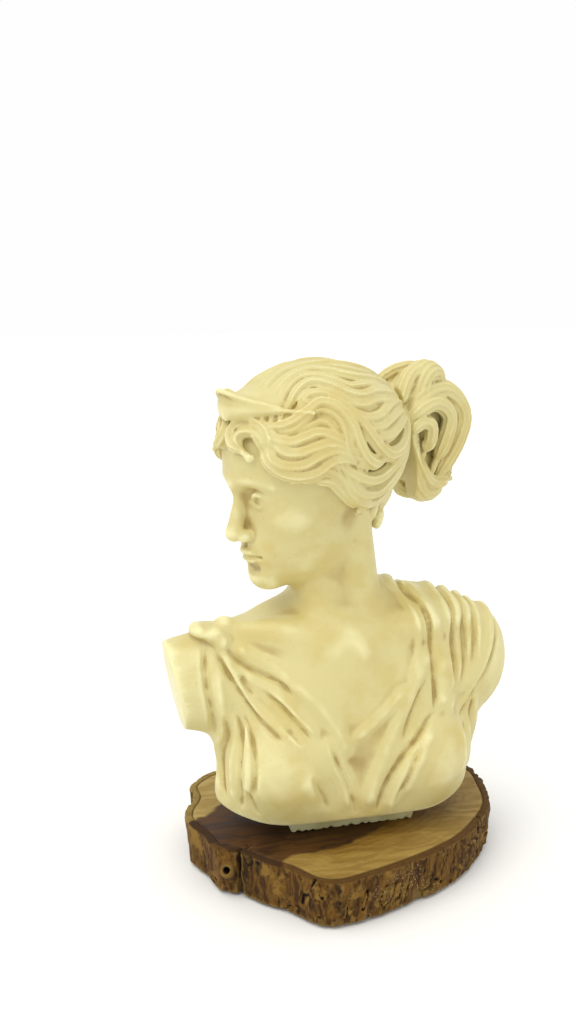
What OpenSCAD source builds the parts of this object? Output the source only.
// Bust of a goddess with a looped hair knot, cast in two pieces of resin marble,
// pinned to a small stone plinth and bolted down to a slice of olive wood.
// All sizes are in millimetres, +Z is up, the chest faces -Y and Z = 0 is the resting plane.

/* [Bust] */
// Height of the bust casting, from the top of the plinth to the crown of the head
bust_h = 168; // [140:1:200]
// Width across the two arm stubs
bust_w = 137.5; // [120:0.5:160]
// Depth of the chest, from the breasts to the shoulder blades
bust_d = 62; // [52:1:74]
// Height of the head, from the chin to the crown
head_h = 76; // [64:1:86]
// Turn of the head towards the right shoulder, degrees
head_turn = 75; // [50:1:80]
// Nod of the head, degrees
head_nod = 13; // [0:1:20]
// Height of the carved folds of the dress
fold_h = 1.6; // [0.4:0.1:2.4]
// Height of the waves of the hair
wave_h = 1.3; // [0.4:0.1:2]
// Points round each ring of the carved surfaces
ring_points = 64; // [40:2:68]
// Rings up the bust
ring_count = 70; // [50:1:74]

/* [Hair knot] */
// Scale of the knot of hair at the back of the head
knot_scale = 1; // [0.8:0.05:1.15]
// Distance of the knot seat behind the centre of the head
seat_out = 42; // [35:0.5:45]
// Film of resin that bonds the knot into its seat
bond_gap = 0.05; // [0.02:0.01:0.1]
// Diameter of the steel pin in the knot
pin_d = 3; // [2:0.5:4]
// Length of the steel pin in the knot
pin_l = 16; // [10:1:18]

/* [Plinth] */
// Width of the plinth at its top
plinth_w = 50; // [40:1:64]
// Depth of the plinth at its top
plinth_d = 34; // [28:1:40]
// Height of the plinth
plinth_h = 5.5; // [4:0.5:9]
// Share of its width the plinth keeps at its foot
plinth_taper = 0.96; // [0.88:0.01:1]

/* [Wood slice] */
// Width of the slice across the grain, bark included
slab_w = 127.2; // [118:0.5:150]
// Depth of the slice from front to back, bark included
slab_d = 112.6; // [104:0.5:140]
// Thickness of the slice
slab_t = 18; // [15:0.5:24]
// Thickness of the bark
bark_t = 3.5; // [2.5:0.1:5]
// Depth of the drying crack, measured in from the bark
crack_l = 11; // [6:0.5:16]
// Width of the drying crack at its mouth
crack_w = 2.2; // [1:0.1:3.5]
// Diameter of the knot hole in the bark
hole_d = 3.8; // [3:0.1:6]

/* [Fixing] */
// Diameter of the machine screw
screw_d = 5; // [4:1:6]
// How far the screw reaches into the bust
screw_reach = 11.3; // [8:0.1:12]
// Diameter of the threaded insert in the bust
insert_d = 8; // [7:0.5:10]
// Length of the threaded insert
insert_l = 12; // [8:1:14]
// Diameter of the washer
washer_d = 15; // [12:0.5:20]
// Thickness of the washer
washer_t = 1.2; // [0.8:0.1:2]
// Depth of the counterbore under the slice
counter_h = 6; // [5:0.5:8]
// Diameter of the two locating dowels
dowel_d = 4; // [3:0.5:5]
// Distance of each dowel from the screw
dowel_x = 16; // [13:0.5:19]
// Radial clearance of the pins and of the insert
fit = 0.05; // [0.02:0.01:0.12]
// Diameter of the felt pads
pad_d = 12; // [8:0.5:16]
// Thickness of the felt pads
pad_t = 1.2; // [0.8:0.1:2]

/* [Hidden] */
$fn = 48;
eps = 0.01;
slab_z = pad_t;                         // underside of the slice
plinth_z = slab_z + slab_t;             // top of the slice
bust_z = plinth_z + plinth_h;           // top of the plinth
crown_z = bust_z + bust_h;              // crown of the head
sw = bust_w / 137.5;                    // body scale across
sd = bust_d / 62;                       // body scale in depth
sh = bust_h / 168;                      // body scale in height
hs = head_h / 76;                       // head scale
pin_reach = pin_l / 2;                  // pin in each half
dowel_deep = 5.5;                       // depth of each dowel in the slice and in the bust
dowel_l = plinth_h + 2 * dowel_deep;
washer_z = slab_z + counter_h - washer_t;
screw_head_h = screw_d * 0.7;
screw_head_d = screw_d * 1.9;
insert_z = bust_z + 0.3;
screw_l = bust_z - washer_z + screw_reach;
marble = [0.93, 0.88, 0.72];
pale_stone = [0.88, 0.87, 0.77];
olive_wood = [0.66, 0.49, 0.25];
bark = [0.36, 0.25, 0.14];
steel = [0.70, 0.71, 0.73];
brass = [0.80, 0.65, 0.30];
felt = [0.20, 0.20, 0.19];

// Head frame: local x to the side, y to the back of the head, z to the crown.
head_c = [-15 * sw, 2 * sd, crown_z - 41 * hs];
head_m = [
    [cos(head_turn), sin(head_turn) * cos(head_nod), -sin(head_turn) * sin(head_nod)],
    [-sin(head_turn), cos(head_turn) * cos(head_nod), -cos(head_turn) * sin(head_nod)],
    [0, sin(head_nod), cos(head_nod)]
];
back_dir = [head_m[0].y, head_m[1].y, head_m[2].y];
function to_head(p) = (p - head_c) * head_m / hs;
function from_head(q) = head_c + head_m * q * hs;

// Distance to an ellipsoid.
function egg(p, c, r) =
    let (q = p - c, a = [q.x / r.x, q.y / r.y, q.z / r.z], k = norm(a))
    k < 0.02 ? -min(r) : k * (k - 1) / max(norm([a.x / r.x, a.y / r.y, a.z / r.z]), 1e-6);
function total(v, i = 0) = len(v) == 0 ? 0 : i < len(v) - 1 ? v[i] + total(v, i + 1) : v[i];
function body(x, y, z) = [x * sw, y * sd, bust_z + z * sh];
function body_r(x, y, z) = [x * sw, y * sd, z * sh];

// Masses of the body: centre, radii, softness of the join, sign.
trunk = [
    [body(2.5, 1, 32), body_r(53, 26, 36), 3, 1],      // ribs
    [body(0, -3, 11), body_r(50, 25, 24), 3, 1],       // underside
    [body(0, 5, 52), body_r(56, 22, 24), 4, 1],        // shoulder girdle
    [body(0, 9, 68), body_r(36, 14, 14), 4, 1],        // slope to the neck
    [body(24, 6, 73), body_r(24, 13, 10), 3, 1],       // raised left shoulder
    [body(0, -5, 48), body_r(40, 19, 24), 3, 1],       // breast bone
    [body(25, -13, 23), body_r(22, 18, 19), 2.5, 1],   // left breast
    [body(-24, -13, 23), body_r(22, 18, 19), 2.5, 1],  // right breast
    [body(-1, 7, 88), body_r(16.5, 16.5, 40), 3, 1]    // neck
];
left_arm = [body(53, 3, 53), body_r(15.5, 16, 25), 3, 1];
right_arm = [body(-42, 3, 51), body_r(46, 16, 19.5), 3, 1];
left_stub = bust_z + 29 * sh;           // underside of the left stub
right_stub = bust_z + 33.5 * sh;        // underside of the right stub
// Ridges of the dress seen from the front: two ends, half width, height (negative for a groove).
folds = [
    [[-49, 73], [-30, 50], 3.2, 1.2], [[-30, 50], [-7, 26], 3.2, 1.2],       // right neckline
    [[-43, 60], [-31, 38], 2.4, -0.9], [[-31, 38], [-12, 20], 2.4, -0.7],
    [[-50, 66], [-38, 34], 3.0, 1.0], [[-38, 34], [-16, 12], 3.0, 0.8],
    [[24, 82], [38, 68], 3.4, 1.2], [[38, 68], [40, 44], 3.2, 1.2],          // left neckline
    [[40, 44], [30, 28], 3.0, 0.8],
    [[45, 80], [46, 50], 2.2, -0.9], [[46, 50], [40, 30], 2.2, -0.6],
    [[51, 76], [52, 44], 2.8, 0.9], [[58, 70], [56, 34], 2.4, -0.8],
    [[19, 56], [9, 36], 3.4, 1.3], [[9, 36], [-3, 6], 4.0, 1.5],             // crossing band
    [[27, 52], [16, 28], 2.4, -0.7], [[33, 46], [22, 24], 3.0, 0.8],
    [[-45, 42], [-45, 10], 2.6, 0.9], [[-40, 36], [-40, 8], 2.0, -0.7],      // side gathers
    [[-35, 30], [-34, 6], 2.6, 0.7], [[-48, 74], [-48, 66], 5.0, 1.6]        // clasp
];
// Masses of the head in its own frame: centre, radii, softness of the join, sign.
head = [
    [[0, 5, 9], [26, 31, 27], 2.5, 1],           // skull
    [[0, -9.5, -10], [19, 17, 25], 2.5, 1],       // face
    [[0, -5.5, -19], [16.5, 19, 13], 2.5, 1],      // jaw
    [[0, -23.5, -30.5], [7.5, 7, 6], 2, 1],        // chin
    [[0, -7.5, -27], [12, 14, 8], 2.5, 1],        // floor of the mouth
    [[12, -15, -8], [7, 7, 8], 2, 1],          // cheeks
    [[-12, -15, -8], [7, 7, 8], 2, 1],
    [[0, -25, 6], [15, 5, 4], 1.5, 1],         // brow
    [[0, -29.5, -4], [3, 4.4, 10], 1, 1],          // nose
    [[0, -33, -12.6], [3.2, 4, 3.2], 0.8, 1],
    [[2.9, -29.5, -13.6], [2, 2.8, 1.8], 0.6, 1],
    [[-2.9, -29.5, -13.6], [2, 2.8, 1.8], 0.6, 1],
    [[9.5, -29, 0.6], [5.2, 4, 3.2], 1, -1],   // eye sockets
    [[-9.5, -29, 0.6], [5.2, 4, 3.2], 1, -1],
    [[9.5, -23.1, -0.2], [5.4, 4.4, 3.6], 0.7, 1],
    [[-9.5, -23.1, -0.2], [5.4, 4.4, 3.6], 0.7, 1],
    [[0, -28.1, -19.6], [5.2, 2.6, 1.4], 0.6, 1], // lips
    [[0, -27.7, -22.4], [4.4, 2.6, 1.6], 0.6, 1]
];
hair = [
    [[0, 6, 11], [29, seat_out / hs - 4.2, 29], 1.4, 1],        // cap of hair
    [[22, 1, 7], [9.5, 24, 13], 1.2, 1],         // waves over the ears
    [[-22, 1, 7], [9.5, 24, 13], 1.2, 1],
    [[11, -16, 22], [11, 11, 8], 1.6, 1],        // front curls
    [[-11, -17, 22], [11, 12, 8], 1.6, 1],
    [[0, 24, -13], [15, 13, 13], 1.6, 1],        // nape
    [[0, -19, 35], [8, 5, 6], 1.2, 1],           // diadem
    [[10, -14, 32], [9, 5, 5], 1.2, 1],
    [[-10, -14, 32], [9, 5, 5], 1.2, 1]
];
// Loops of the knot in the head frame: centre, radii, softness of the join, sign.
loops_seat = 42;                        // the loops below are drawn for a seat at this distance
loops = [
    [[0, 43, 4], [13, 12, 19], 2, 1],            // root of the knot
    [[0, 50, 19.5], [12, 13, 11], 2, 1],           // top lobe
    [[1, 59.5, 9], [13, 13, 16], 2, 1],           // outer loop
    [[0, 51, -10], [11, 14, 14], 2, 1],          // hanging loop
    [[0, 57, -17], [7, 9, 6], 1.5, 1],           // flick of the ends
    [[-14, 53, 3], [4, 5, 8], 1.2, -1],          // hollow of the spiral
    [[15, 53, 3], [4, 5, 8], 1.2, -1]
];
function push(m, p, lift) = m[3] * exp(-(egg(p, m[0], m[1]) - lift) / m[2]);
function waves(q) = wave_h * (0.4 + 0.6 * sin(34 * norm([q.y + 24, q.z - 36]) + q.x * 5));
function near(set, z) = [for (m = set) if (abs(z - m[0].z) < m[1].z + 12) m];

// How far a point is inside the casting: above 1 it is stone.
function stone(p, parts, on_head) =
    let (q = to_head(p))
    total([for (m = parts) push(m, p, 0)])
    + (on_head ? total([for (m = head) push(m, q, 0)]) + total([for (m = hair) push(m, q, waves(q))]) : 0);
function knot_stone(p) =
    let (q = to_head(p), k = [0, loops_seat, 0] + (q - [0, seat_out / hs, 0]) / knot_scale)
    total([for (m = loops) push(m, k, m[3] * 0.6 * wave_h * sin(k.y * 20 + k.z * 26))]);

// Lift of the dress at a point of the chest, fading out round the sides.
function ridge(x, z, f) =
    let (p = [x, z], ab = f[1] - f[0], t = max(0, min(1, ((p - f[0]) * ab) / (ab * ab))))
    f[3] * exp(-pow(norm(p - f[0] - ab * t) / f[2], 2));
function lift(p) =
    let (x = p.x / sw, z = (p.z - bust_z) / sh)
    fold_h * ease((6 - p.y / sd) / 12) * ease((62 - abs(x)) / 14) * total([for (f = folds) ridge(x, z, f)]);

// Flat cuts of the casting: the ends of the arm stubs and the seat of the knot.
cuts = [
    [body(-68, 0, 67), [-0.981, 0, -0.196]],
    [body(68.5, 0, 52), [1, 0, 0]]
];
seat = [head_c + back_dir * seat_out, back_dir];
knot_seat = [head_c + back_dir * (seat_out + bond_gap), -back_dir];
function cut_at(o, d, plane, far) =
    let (s = d * plane[1]) s < 1e-4 ? far : max(0.3, min(far, ((plane[0] - o) * plane[1]) / s));
function refine(o, d, in_r, out_r, n, parts, on_head) =
    n == 0 ? in_r : let (m = (in_r + out_r) / 2)
    stone(o + d * m, parts, on_head) > 1 ? refine(o, d, m, out_r, n - 1, parts, on_head)
                                         : refine(o, d, in_r, m, n - 1, parts, on_head);
function reach(o, d, r, parts, on_head) =
    r < 0.5 ? 0.3 : stone(o + d * r, parts, on_head) > 1 ? refine(o, d, r, r + 4, 8, parts, on_head)
                                                         : reach(o, d, r - 4, parts, on_head);
function knot_refine(o, d, in_r, out_r, n) =
    n == 0 ? in_r : let (m = (in_r + out_r) / 2)
    knot_stone(o + d * m) > 1 ? knot_refine(o, d, m, out_r, n - 1) : knot_refine(o, d, in_r, m, n - 1);
function knot_reach(o, d, r) =
    r < 0.5 ? 0.3 : knot_stone(o + d * r) > 1 ? knot_refine(o, d, r, r + 3, 8) : knot_reach(o, d, r - 3);

// Level rings climb the chest and the neck; above them cones of rays open from the centre of the head.
function ease(t) = let (u = max(0, min(1, t))) u * u * (3 - 2 * u);
neck_top = head_c.z - 40 * hs;
body_rings = round(ring_count * 0.34);
neck_rings = 6;
head_rings = ring_count - body_rings - neck_rings;
low_cone = -62;                         // steepest cone, just above the neck
neck_base_z = neck_top - 10;            // foot of the neck rings
function spine(z) = let (t = ease((z - neck_base_z + 20) / 26)) [-1 * sw * t, 6 * sd * t, z];
function fan(i, look, bunch) = let (t = i * 360 / ring_points) look + 180 + t + bunch * sin(t);
function parts_at(z) = concat(near(trunk, z), z > left_stub ? near([left_arm], z) : [],
                              z > right_stub ? near([right_arm], z) : []);

function body_ring(z) =
    let (o = spine(z), parts = parts_at(z), t = ease((z - neck_base_z + 12) / 22))
    [for (i = [0 : ring_points - 1])
        let (a = fan(i, -90 - head_turn, 6 + 22 * t), d = [cos(a), sin(a), 0],
             r = reach(o, d, 82, parts, false), s = r + lift(o + d * r))
        o + d * min([for (k = cuts) cut_at(o, d, k, s)])];

function head_ring(e) =
    let (o = head_c + [9 * sw, 3 * sd, 0], far = e < -20 ? min(62, (o.z - neck_top - 3) / sin(-e)) : 62)
    [for (i = [0 : ring_points - 1])
        let (a = fan(i, -90 - head_turn, 28), d = [cos(a) * cos(e), sin(a) * cos(e), sin(e)],
             r = reach(o, d, far, [trunk[8]], true))
        o + d * cut_at(o, d, seat, r)];

function bust_rings() = concat(
    [for (i = [0 : body_rings - 1]) body_ring(bust_z + (neck_base_z - bust_z) * i / body_rings)],
    [for (i = [0 : neck_rings - 1])
        body_ring(neck_base_z + (neck_top - neck_base_z) * i / (neck_rings - 1))],
    [for (i = [0 : head_rings - 1]) head_ring(low_cone + (89 - low_cone) * i / (head_rings - 1))]
);

knot_c = from_head([0, seat_out / hs, 0] + [0, 11, 4] * knot_scale);
knot_rings = 36;
knot_points = 36;
function knot_ring(z) =
    let (o = [knot_c.x, knot_c.y, z])
    [for (i = [0 : knot_points - 1])
        let (a = i * 360 / knot_points, d = [cos(a), sin(a), 0], r = knot_reach(o, d, 45))
        o + d * cut_at(o, d, knot_seat, r)];

// Skin over a stack of rings, closed by a fan at each end.
module skin(rings) {
    n = len(rings[0]);
    m = len(rings);
    low = total(rings[0]) / n;
    top = total(rings[m - 1]) / n;
    pts = concat([for (r = rings) each r], [low, top]);
    sides = [for (j = [0 : m - 2]) for (i = [0 : n - 1])
        let (a = j * n + i, b = j * n + (i + 1) % n)
        each [[a, a + n, b], [b, a + n, b + n]]];
    foot = [for (i = [0 : n - 1]) [m * n, i, (i + 1) % n]];
    lid = [for (i = [0 : n - 1]) [m * n + 1, (m - 1) * n + (i + 1) % n, (m - 1) * n + i]];
    polyhedron(points = pts, faces = concat(sides, foot, lid), convexity = 10);
}

// Outline of the slice, walked clockwise from the far left, as shares of its half sizes.
slab_c = [2.6, -0.8];
edge_marks = [
    [-0.69, 0.86], [-0.88, 0.66], [-0.90, 0.44], [-0.97, 0.28], [-1.0, 0.10], [-0.94, -0.12],
    [-0.89, -0.37], [-0.78, -0.43], [-0.66, -0.62], [-0.56, -0.73], [-0.45, -0.93], [-0.31, -1.0],
    [-0.13, -0.96], [0.07, -0.89], [0.33, -0.77], [0.56, -0.62], [0.76, -0.40], [0.90, -0.18],
    [0.97, 0.10], [1.0, 0.40], [0.88, 0.74], [0.63, 0.94], [0.30, 1.0], [-0.02, 0.98], [-0.38, 0.96]
];
function mark(i) = edge_marks[(i + len(edge_marks)) % len(edge_marks)];
function catmull(a, b, c, d, t) =
    0.5 * (2 * b + (c - a) * t + (2 * a - 5 * b + 4 * c - d) * t * t + (3 * b - a - 3 * c + d) * t * t * t);
outline = [for (i = [0 : len(edge_marks) - 1]) for (t = [0, 0.25, 0.5, 0.75])
    let (p = catmull(mark(i - 1), mark(i), mark(i + 1), mark(i + 2), t))
    [slab_c.x + p.x * slab_w / 2, slab_c.y + p.y * slab_d / 2]];
function heart(i) =
    let (n = len(outline), a = outline[(i + n - 2) % n], b = outline[(i + 2) % n], d = (b - a) / norm(b - a))
    outline[i] + bark_t * [-d.y, d.x];
heart_line = [for (i = [0 : len(outline) - 1]) heart(i)];
crack_p = outline[28];
crack_a = atan2(crack_p.y - slab_c.y, crack_p.x - slab_c.x);

// Wedge of the drying crack, narrow towards the heart.
module crack() {
    translate([crack_p.x, crack_p.y, slab_z - 1]) rotate(crack_a)
        linear_extrude(slab_t + 2) polygon([[2, -crack_w * 0.65], [2, crack_w * 0.65], [-crack_l, 0]]);
}

// Round hole left by a fallen twig, just beside the crack.
module twig_hole() {
    p = outline[26];
    translate([p.x, p.y, slab_z + slab_t * 0.55])
        rotate([0, 90, atan2(p.y - slab_c.y, p.x - slab_c.x) + 180])
            translate([0, 0, -6]) cylinder(d = hole_d, h = bark_t + 9);
}

/* Nodes */

// The casting of head, neck and chest, with its bores from below and in the seat.
module bust() {
    color(marble) difference() {
        skin(bust_rings());
        translate([0, 0, bust_z - 1]) cylinder(r = insert_d / 2 + fit, h = insert_l + 1 + 0.8);
        for (s = [-1, 1]) translate([s * dowel_x, 0, bust_z - 1])
            cylinder(r = dowel_d / 2 + fit, h = dowel_deep + 1.4);
        pin_place() translate([0, 0, -pin_reach - 0.2]) cylinder(r = pin_d / 2 + fit, h = pin_reach + 3);
    }
}

module pin_place() {
    translate(head_c + back_dir * seat_out)
        rotate([0, 0, 90 - head_turn]) rotate([0, 90 - head_nod, 0]) children();
}

// The knot of hair, cast apart and bonded into the flat seat.
module hair_knot() {
    up = knot_reach(knot_c, [0, 0, 1], 45) - 0.4;
    down = knot_reach(knot_c, [0, 0, -1], 45) - 0.4;
    color(marble) difference() {
        skin([for (i = [0 : knot_rings - 1])
            knot_ring(knot_c.z + (up - down) / 2 - (up + down) / 2 * cos(180 * i / (knot_rings - 1)))]);
        pin_place() translate([0, 0, -3]) cylinder(r = pin_d / 2 + fit, h = pin_reach + 3.2);
    }
}

module knot_pin() {
    color(steel) pin_place() translate([0, 0, -pin_reach]) cylinder(d = pin_d, h = pin_l);
}

// Pale block between the bust and the wood, a little narrower at its foot.
module plinth() {
    color(pale_stone) difference() {
        translate([0, 0, plinth_z]) linear_extrude(plinth_h, scale = 1 / plinth_taper)
            square([plinth_w * plinth_taper, plinth_d * plinth_taper], center = true);
        translate([0, 0, plinth_z - 1]) cylinder(d = screw_d + 0.5, h = plinth_h + 2);
        for (s = [-1, 1]) translate([s * dowel_x, 0, plinth_z - 1])
            cylinder(r = dowel_d / 2 + fit, h = plinth_h + 2);
    }
}

// Heart and sap wood of the slice, bored from below for the screw and from above for the dowels.
module wood_slab() {
    color(olive_wood) difference() {
        translate([0, 0, slab_z]) linear_extrude(slab_t) polygon(heart_line);
        translate([0, 0, slab_z - 1]) cylinder(d = screw_d + 0.5, h = slab_t + 2);
        translate([0, 0, slab_z - 1]) cylinder(d = washer_d + 1, h = counter_h + 1);
        for (s = [-1, 1]) translate([s * dowel_x, 0, plinth_z - dowel_deep - 0.4])
            cylinder(r = dowel_d / 2 + fit, h = dowel_deep + 2);
        crack();
        twig_hole();
    }
}

module bark_rim() {
    color(bark) difference() {
        translate([0, 0, slab_z]) linear_extrude(slab_t) polygon(outline);
        translate([0, 0, slab_z - 1]) linear_extrude(slab_t + 2) polygon(heart_line);
        crack();
        twig_hole();
    }
}

module fixing_screw() {
    color(steel) {
        translate([0, 0, washer_z]) cylinder(d = screw_d, h = screw_l);
        difference() {
            translate([0, 0, washer_z - screw_head_h]) cylinder(d = screw_head_d, h = screw_head_h + eps);
            translate([0, 0, washer_z - screw_head_h - 1]) cylinder(d = screw_d * 0.7, h = 3, $fn = 6);
        }
    }
}

module screw_washer() {
    color(steel) translate([0, 0, washer_z]) difference() {
        cylinder(d = washer_d, h = washer_t);
        translate([0, 0, -1]) cylinder(d = screw_d + 0.3, h = washer_t + 2);
    }
}

module threaded_insert() {
    color(brass) translate([0, 0, insert_z]) difference() {
        cylinder(d = insert_d, h = insert_l);
        translate([0, 0, -1]) cylinder(r = screw_d / 2 + fit, h = insert_l + 2);
    }
}

module locating_dowels() {
    color(steel) for (s = [-1, 1]) translate([s * dowel_x, 0, plinth_z - dowel_deep])
        cylinder(d = dowel_d, h = dowel_l);
}

// Four pads under the slice, set in from the bark.
module felt_pads() {
    color(felt) for (p = [[-0.55, -0.36], [0.55, -0.36], [0.62, 0.52], [-0.50, 0.60]])
        translate([slab_c.x + p.x * slab_w / 2, slab_c.y + p.y * slab_d / 2, 0])
            cylinder(d = pad_d, h = pad_t);
}

bust();
hair_knot();
knot_pin();
plinth();
wood_slab();
bark_rim();
fixing_screw();
screw_washer();
threaded_insert();
locating_dowels();
felt_pads();
